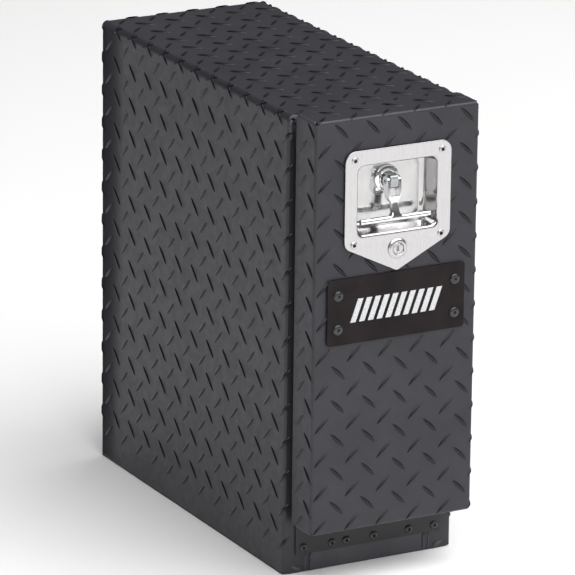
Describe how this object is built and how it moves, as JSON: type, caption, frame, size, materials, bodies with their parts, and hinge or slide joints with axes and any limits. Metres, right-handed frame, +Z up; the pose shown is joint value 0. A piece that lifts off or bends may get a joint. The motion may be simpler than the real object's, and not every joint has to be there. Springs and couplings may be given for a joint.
{
  "type": "truck tool box",
  "caption": "Tall narrow black tread-plate truck tool box with a drop-down door, piano hinge, folding T-handle latch and key lock.",
  "frame": {"origin": "middle of the footprint, on the underside of the cabinet", "axes": "+X to the right seen from the door side, +Y from the door towards the back, +Z up"},
  "size_m": [0.203, 0.4824, 0.5062],
  "materials": {
    "black_tread_plate": "satin black powder coat on tread plate",
    "black_sheet": "satin black powder coat on smooth sheet",
    "black_hinge": "satin black powder coat on steel hinge",
    "black_rivet": "black coated aluminium pop rivet",
    "liner_sheet": "mill finish sheet",
    "rubber": "matte black sponge rubber",
    "stainless": "fine brushed stainless steel",
    "bright_chrome": "polished",
    "zinc_plate": "dull zinc plate",
    "badge_gloss": "gloss dark plate"
  },
  "bodies": {
    "cabinet": {"left_side_panel": "black_tread_plate", "right_side_panel": "black_tread_plate", "top_panel": "black_tread_plate", "bottom_panel": "black_tread_plate", "back_panel": "black_tread_plate", "sill_plate": "black_sheet", "rain_lip": "black_sheet", "hinge_body_leaf": "black_hinge", "hinge_pin": "zinc_plate", "sill_rivet_1": "black_rivet", "sill_rivet_2": "black_rivet", "sill_rivet_3": "black_rivet", "sill_rivet_4": "black_rivet", "sill_rivet_5": "black_rivet", "sill_rivet_6": "black_rivet"},
    "door": {"door_skin": "black_tread_plate", "door_liner": "liner_sheet", "door_seal": "rubber", "hinge_door_leaf": "black_hinge", "door_leaf_rivet_1": "black_rivet", "door_leaf_rivet_2": "black_rivet", "door_leaf_rivet_3": "black_rivet", "door_leaf_rivet_4": "black_rivet", "badge_plate": "badge_gloss", "badge_rivet_1": "black_rivet", "badge_rivet_2": "black_rivet", "badge_rivet_3": "black_rivet", "badge_rivet_4": "black_rivet", "latch_pan": "stainless", "latch_gasket": "rubber", "latch_rivet_1": "stainless", "latch_rivet_2": "stainless", "latch_rivet_3": "stainless", "latch_rivet_4": "stainless", "spindle_bushing": "bright_chrome", "bushing_nut": "zinc_plate", "lock_barrel": "bright_chrome", "lock_nut": "zinc_plate"},
    "latch_rotor": {"latch_spindle": "bright_chrome", "latch_cam": "zinc_plate", "cam_nut": "zinc_plate"},
    "handle": {"handle_shank": "bright_chrome", "handle_bar": "bright_chrome", "handle_pivot_pin": "stainless"},
    "lock": {"lock_plug": "bright_chrome", "lock_pawl": "zinc_plate", "pawl_screw": "zinc_plate"}
  },
  "joints": [
    {"name": "door_hinge", "type": "hinge", "parent": "cabinet", "child": "door", "pos_m": [0, -0.18865, 0.0551], "axis": [1, 0, 0], "range_deg": [0, 90]},
    {"name": "handle_turn", "type": "hinge", "parent": "door", "child": "latch_rotor", "pos_m": [0, -0.22485, 0.4301], "axis": [0, 1, 0], "range_deg": [0, 40]},
    {"name": "handle_fold", "type": "hinge", "parent": "latch_rotor", "child": "handle", "pos_m": [0, -0.22465, 0.4301], "axis": [-1, 0, 0], "range_deg": [0, 80]},
    {"name": "lock_turn", "type": "hinge", "parent": "door", "child": "lock", "pos_m": [0, -0.23585, 0.3613], "axis": [0, 1, 0], "range_deg": [0, 90]}
  ],
  "couplings": [
    {"joint": "handle_turn", "follows": "handle_fold", "ratio": 0.5}
  ]
}
